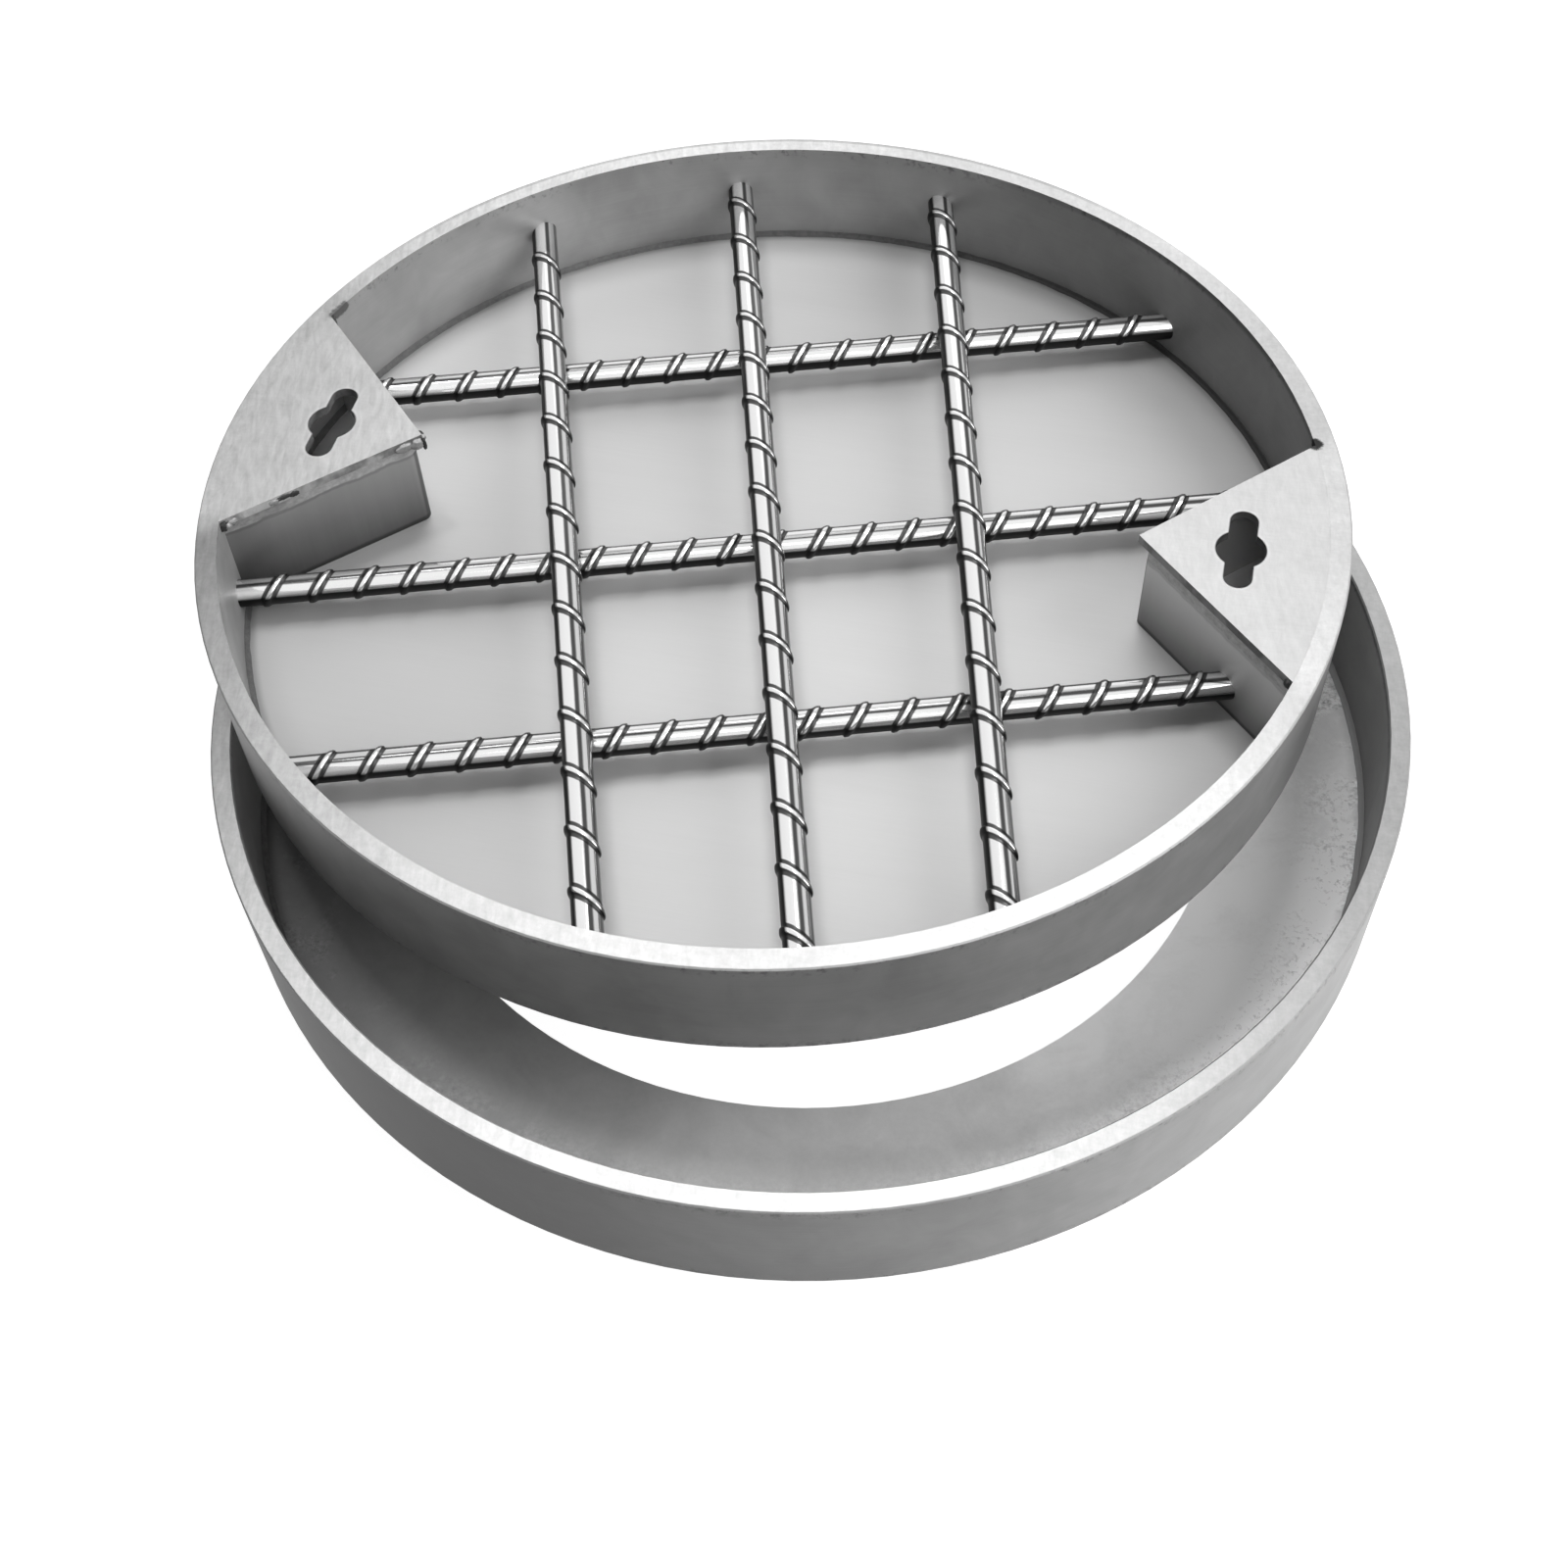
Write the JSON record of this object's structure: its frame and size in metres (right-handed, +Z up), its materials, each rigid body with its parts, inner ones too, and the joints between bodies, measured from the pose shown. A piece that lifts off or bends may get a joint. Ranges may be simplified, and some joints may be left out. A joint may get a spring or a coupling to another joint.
{
  "type": "recessed access cover",
  "caption": "Round recessed access cover for paving infill: a tray with ribbed reinforcing bars and corner key plates with keyholes, set down off centre on its seat frame.",
  "frame": {"origin": "centre of the seat frame's clear opening, at the frame's underside", "axes": "+Z up, out of the ground; +X from the left key pocket to the right one; +Y away from the picture's viewer and towards where the tray is set down"},
  "size_m": [0.5144, 0.5396, 0.112],
  "materials": {
    "rolled_steel": "fine satin, brushed along the ring",
    "ledge_steel": "mill finish, slightly mottled",
    "floor_steel": "smooth mill finish",
    "plate_steel": "coarse ground, with fine blotches",
    "folded_steel": "smooth satin sheet",
    "bar_steel": "bright rolled, with slanted ribs"
  },
  "bodies": {
    "root": {"frame_wall": "rolled_steel", "frame_ledge": "ledge_steel", "tray_wall": "rolled_steel", "tray_floor": "floor_steel", "key_plate_left": "plate_steel", "key_plate_right": "plate_steel", "pocket_wall_left": "folded_steel", "pocket_wall_right": "folded_steel", "cross_bar_front": "bar_steel", "cross_bar_middle": "bar_steel", "cross_bar_back": "bar_steel", "long_bar_left": "bar_steel", "long_bar_middle": "bar_steel", "long_bar_right": "bar_steel"}
  },
  "joints": []
}
